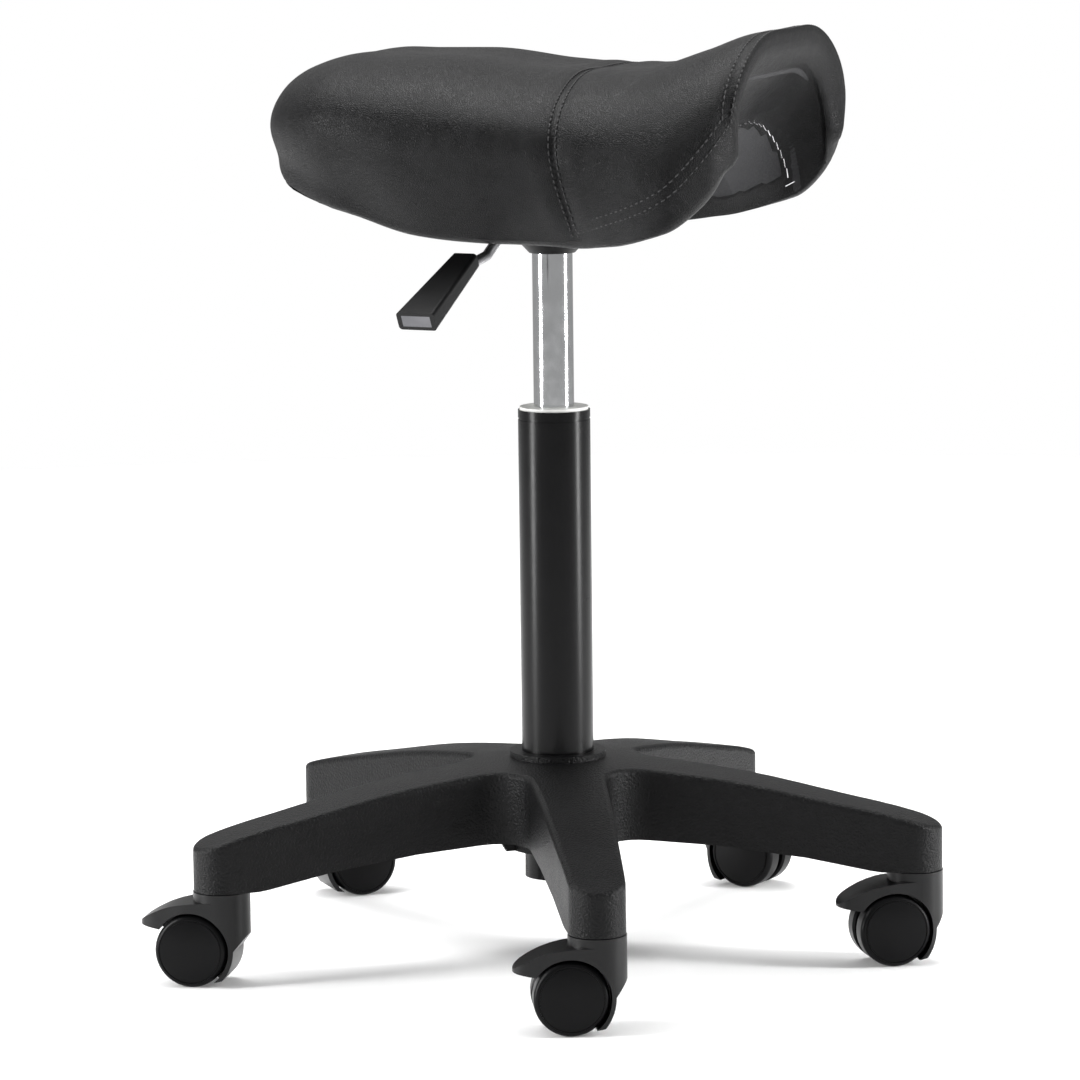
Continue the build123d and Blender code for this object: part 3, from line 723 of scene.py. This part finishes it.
class STOOL_OT_lever(bpy.types.Operator):
    """Finish the height lever"""

    bl_idname = "stool.lever"
    bl_label = "Height lever"

    def execute(self, context):
        finish = context.scene.stool_finish
        give(moulded_finish("grip_plastic", finish.plastic, grain=0.0006, depth=0.00004,
                            roughness=0.4), "lever_paddle")
        give(moulded_finish("grip_insert", (0.13, 0.13, 0.14), grain=0.0006, depth=0.00003,
                            roughness=0.5), "paddle_insert")
        give(metal_finish("lever_steel", (0.3, 0.3, 0.31), 0.3), "lever_rod", "lever_pin")
        return {"FINISHED"}


# ---- stage -----------------------------------------------------------------------------
FLOOR_RADIUS = 2.7
TARGET = Vector((0, 0, 0.4))        # what the lights aim at
TOP_LIGHT = 1.9                     # its height above the target
TOP_BEHIND = 0.5
STRIP_AWAY = 1.75                   # from the target to each strip light
STRIP_RAISED = 0.1
STRIP_TALL = 1.9
# Name, side, degrees round from the camera, width and power of each strip light.
STRIPS = (("left_strip", -1, 74, 0.36, 52), ("right_strip", 1, 80, 0.26, 56))
AMBIENT = 0.38                      # the world's strength as a light


def area_light(name, place, aim, size, power):
    light = bpy.data.lights.new(name, "AREA")
    light.shape = "RECTANGLE"
    light.size, light.size_y = size
    light.energy = power
    lamp = bpy.data.objects.new(name, light)
    lamp.location = place
    lamp.rotation_euler = (Vector(aim) - Vector(place)).to_track_quat("-Z", "Y").to_euler()
    bpy.context.scene.collection.objects.link(lamp)


class STOOL_OT_stage(bpy.types.Operator):
    """Lay the floor, and set the lights and the camera"""

    bl_idname = "stool.stage"
    bl_label = "Stage"

    def execute(self, context):
        stage = context.scene.stool_stage
        bm = bmesh.new()
        bmesh.ops.create_circle(bm, cap_ends=True, segments=96, radius=FLOOR_RADIUS)
        data = bpy.data.meshes.new("floor")
        bm.to_mesh(data)
        bm.free()
        floor = bpy.data.objects.new("floor", data)
        paper = Finish("white_paper", Base_Color=(0.9, 0.9, 0.9, 1), Roughness=0.9,
                       Emission_Color=(1, 1, 1, 1), Emission_Strength=0.1, Specular_IOR_Level=0.1)
        data.materials.append(paper.material)
        context.scene.collection.objects.link(floor)

        world = bpy.data.worlds.new("studio")
        world.use_nodes = True
        tree = world.node_tree
        dim = tree.nodes["Background"]
        dim.inputs["Color"].default_value = (1, 1, 1, 1)
        dim.inputs["Strength"].default_value = AMBIENT
        white = tree.nodes.new("ShaderNodeBackground")
        white.inputs["Color"].default_value = (1, 1, 1, 1)
        pick = tree.nodes.new("ShaderNodeMixShader")
        rays = tree.nodes.new("ShaderNodeLightPath")
        tree.links.new(rays.outputs["Is Camera Ray"], pick.inputs["Fac"])
        tree.links.new(dim.outputs[0], pick.inputs[1])
        tree.links.new(white.outputs[0], pick.inputs[2])
        tree.links.new(pick.outputs[0], tree.nodes["World Output"].inputs["Surface"])
        context.scene.world = world
        context.scene.view_settings.view_transform = "Standard"
        right = Vector((math.cos(stage.azimuth), math.sin(stage.azimuth), 0))
        away = Vector((-math.sin(stage.azimuth), math.cos(stage.azimuth), 0))
        area_light("top_softbox", TARGET + Vector((0, 0, TOP_LIGHT)) + away * TOP_BEHIND, TARGET,
                   (1.6, 1.6), 38)
        for name, side, swing, width, power in STRIPS:
            swing = math.radians(swing)
            place = TARGET + (right * side * math.sin(swing)
                              - away * math.cos(swing)) * STRIP_AWAY
            area_light(name, place + Vector((0, 0, STRIP_RAISED)), TARGET, (width, STRIP_TALL),
                       power)

        sky = bpy.data.lights.new("skylight", "SUN")
        sky.energy = 1.55
        sky.angle = math.radians(50)
        overhead = bpy.data.objects.new("skylight", sky)
        shines_from = -right * 0.25 + away * 0.35 + Vector((0, 0, 1))
        overhead.rotation_euler = shines_from.to_track_quat("Z", "Y").to_euler()
        context.scene.collection.objects.link(overhead)

        lens = bpy.data.cameras.new("camera")
        lens.sensor_width = 36
        lens.lens = stage.lens
        lens.clip_end = 200
        camera = bpy.data.objects.new("camera", lens)
        look = Matrix.Rotation(stage.azimuth + stage.turn, 4, "Z")
        look = look @ Matrix.Rotation(math.pi / 2 - stage.pitch, 4, "X")
        look = look @ Matrix.Rotation(stage.roll, 4, "Z")
        stand = -away * stage.distance + Vector((0, 0, stage.height))
        camera.matrix_world = Matrix.Translation(stand) @ look
        context.scene.collection.objects.link(camera)
        context.scene.camera = camera
        return {"FINISHED"}


class STOOL_PT_panel(bpy.types.Panel):
    """The stool's settings and pieces"""

    bl_idname = "STOOL_PT_panel"
    bl_label = "Saddle stool"
    bl_space_type = "VIEW_3D"
    bl_region_type = "UI"
    bl_category = "Saddle stool"

    def draw(self, context):
        for settings in (context.scene.stool_saddle, context.scene.stool_finish,
                         context.scene.stool_stage):
            box = self.layout.box()
            for name in settings.__annotations__:
                box.prop(settings, name)
        for operator in OPERATORS:
            self.layout.operator(operator.bl_idname)


OPERATORS = (STOOL_OT_cover, STOOL_OT_stitching, STOOL_OT_staples, STOOL_OT_lift, STOOL_OT_base,
             STOOL_OT_lever, STOOL_OT_stage)
CLASSES = (SaddleSettings, FinishSettings, StageSettings, *OPERATORS, STOOL_PT_panel)


def register():
    for cls in CLASSES:
        bpy.utils.register_class(cls)
    bpy.types.Scene.stool_saddle = PointerProperty(type=SaddleSettings)
    bpy.types.Scene.stool_finish = PointerProperty(type=FinishSettings)
    bpy.types.Scene.stool_stage = PointerProperty(type=StageSettings)


def unregister():
    del bpy.types.Scene.stool_stage
    del bpy.types.Scene.stool_finish
    del bpy.types.Scene.stool_saddle
    for cls in reversed(CLASSES):
        bpy.utils.unregister_class(cls)


def main():
    register()
    bpy.ops.stool.cover()
    bpy.ops.stool.stitching()
    bpy.ops.stool.staples()
    bpy.ops.stool.lift()
    bpy.ops.stool.base()
    bpy.ops.stool.lever()
    bpy.ops.stool.stage()


if __name__ == "__main__":
    main()
